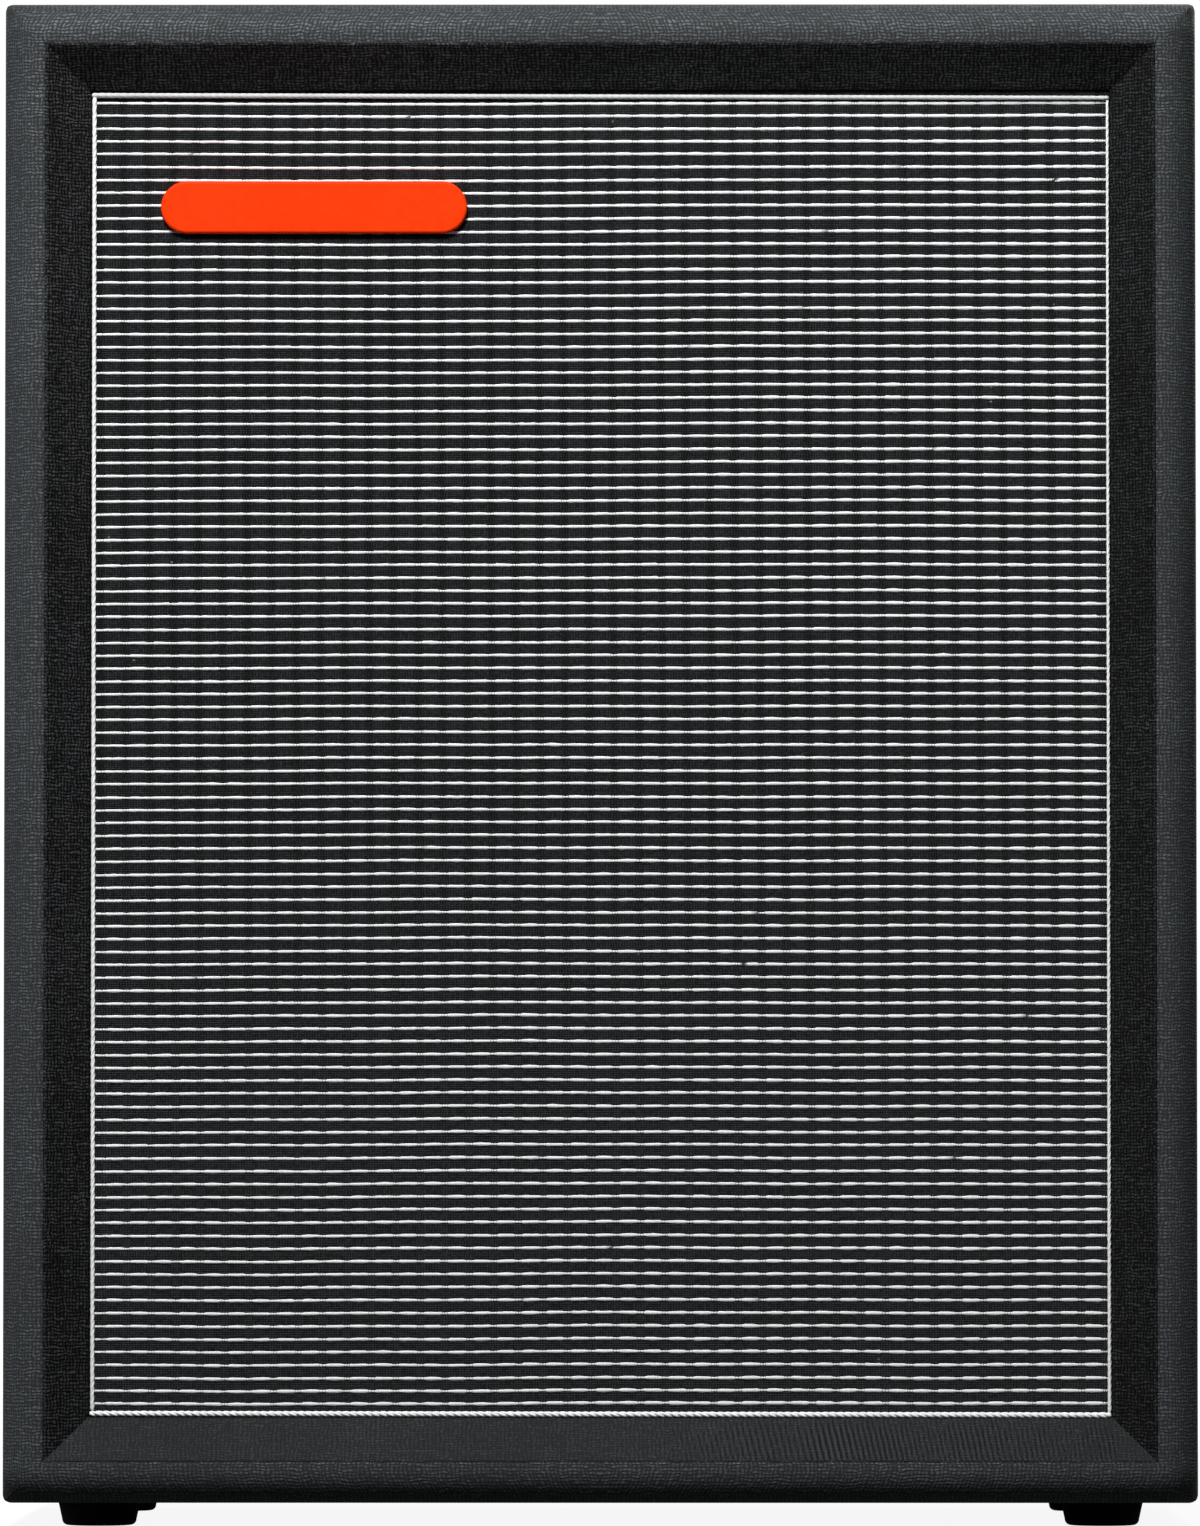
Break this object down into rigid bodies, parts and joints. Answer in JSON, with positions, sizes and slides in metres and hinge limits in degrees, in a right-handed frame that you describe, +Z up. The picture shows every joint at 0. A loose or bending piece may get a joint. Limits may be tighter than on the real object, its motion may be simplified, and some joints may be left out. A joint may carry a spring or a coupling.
{
  "type": "guitar speaker cabinet",
  "caption": "Tall closed-back guitar speaker cabinet in black vinyl, with a bevelled and piped striped-cloth grille, loudspeakers in an offset column, side handles, rear jacks and rubber feet.",
  "frame": {"origin": "centre of the cabinet's footprint, at floor level", "axes": "+Z up, -Y towards the front (grille side), +X to the right seen from the front"},
  "size_m": [0.5932, 0.3, 0.754],
  "materials": {
    "black_vinyl": "black woven-grain vinyl, satin",
    "birch_ply": "bare birch plywood",
    "frame_pine": "bare softwood",
    "baffle_black": "plywood stained matt black",
    "grille_weave": "black woven grille cloth with thin white lines",
    "piping_cord": "white twisted cord",
    "badge_orange": "plain orange-red moulded bar",
    "screw_steel": "bright zinc",
    "nickel": "nickel plate",
    "black_steel": "black textured paint",
    "grip_chrome": "polished chrome",
    "contact_brass": "plain brass",
    "basket_paint": "grey paint",
    "cone_paper": "black pulp paper",
    "edge_cloth": "doped cloth",
    "spider_cloth": "resin-dipped cotton",
    "gasket_card": "dark pressed card",
    "ferrite": "bare ferrite",
    "plate_steel": "zinc-passivated steel",
    "coil_winding": "enamelled copper on paper",
    "terminal_board": "brown laminate with solder tags",
    "cable_sheath": "black sheathed two-core cable",
    "foot_rubber": "black rubber"
  },
  "bodies": {
    "case": {"back_covering": "black_vinyl", "back_panel": "birch_ply", "back_screws": "nickel", "badge_bar": "badge_orange", "baffle_board": "baffle_black", "baffle_screws": "screw_steel", "bevel_bottom": "frame_pine", "bevel_covering": "black_vinyl", "bevel_left": "frame_pine", "bevel_right": "frame_pine", "bevel_top": "frame_pine", "bottom_panel": "birch_ply", "cup_washers": "nickel", "foot_screws": "screw_steel", "grille_cloth": "grille_weave", "grille_piping": "piping_cord", "handle_screws": "screw_steel", "input_jack": "nickel", "jack_dish": "black_steel", "jack_dish_screws": "screw_steel", "jack_nuts": "nickel", "left_handle_dish": "black_steel", "left_side_panel": "birch_ply", "link_jack": "nickel", "lower_basket": "basket_paint", "lower_front_plate": "plate_steel", "lower_gasket": "gasket_card", "lower_magnet": "ferrite", "lower_pole_piece": "plate_steel", "lower_spider": "spider_cloth", "lower_surround": "edge_cloth", "lower_terminal_strip": "terminal_board", "lower_tinsel_leads": "coil_winding", "rear_battens": "frame_pine", "right_handle_dish": "black_steel", "right_side_panel": "birch_ply", "rubber_feet": "foot_rubber", "speaker_screws": "screw_steel", "speaker_wiring": "cable_sheath", "top_panel": "birch_ply", "upper_basket": "basket_paint", "upper_front_plate": "plate_steel", "upper_gasket": "gasket_card", "upper_magnet": "ferrite", "upper_pole_piece": "plate_steel", "upper_spider": "spider_cloth", "upper_surround": "edge_cloth", "upper_terminal_strip": "terminal_board", "upper_tinsel_leads": "coil_winding", "vinyl_covering": "black_vinyl"},
    "upper_cone": {"upper_cone": "cone_paper", "upper_dust_cap": "cone_paper", "upper_voice_coil": "coil_winding"},
    "lower_cone": {"lower_cone": "cone_paper", "lower_dust_cap": "cone_paper", "lower_voice_coil": "coil_winding"},
    "left_grip": {"left_handle_grip": "grip_chrome"},
    "right_grip": {"right_handle_grip": "grip_chrome"},
    "input_contact": {"input_tip_contact": "contact_brass"},
    "link_contact": {"link_tip_contact": "contact_brass"}
  },
  "joints": [
    {"name": "upper_cone_travel", "type": "slide", "parent": "case", "child": "upper_cone", "axis": [0, -1, 0], "range_m": [-0.004, 0.004], "stiffness_N_per_m": 6000, "deforming": ["upper_surround", "upper_spider", "upper_tinsel_leads"]},
    {"name": "lower_cone_travel", "type": "slide", "parent": "case", "child": "lower_cone", "axis": [0, -1, 0], "range_m": [-0.004, 0.004], "stiffness_N_per_m": 6000, "deforming": ["lower_surround", "lower_spider", "lower_tinsel_leads"]},
    {"name": "left_grip_swing", "type": "hinge", "parent": "case", "child": "left_grip", "pos_m": [-0.2865, 0, 0.461], "axis": [0, 1, 0], "range_deg": [0, 90]},
    {"name": "right_grip_swing", "type": "hinge", "parent": "case", "child": "right_grip", "pos_m": [0.2865, 0, 0.461], "axis": [0, -1, 0], "range_deg": [0, 90]},
    {"name": "input_contact_flex", "type": "hinge", "parent": "case", "child": "input_contact", "pos_m": [-0.022, 0.1189, 0.1915], "axis": [1, 0, 0], "range_deg": [0, 4], "stiffness_Nm_per_rad": 0.2},
    {"name": "link_contact_flex", "type": "hinge", "parent": "case", "child": "link_contact", "pos_m": [0.022, 0.1189, 0.1915], "axis": [1, 0, 0], "range_deg": [0, 4], "stiffness_Nm_per_rad": 0.2}
  ]
}
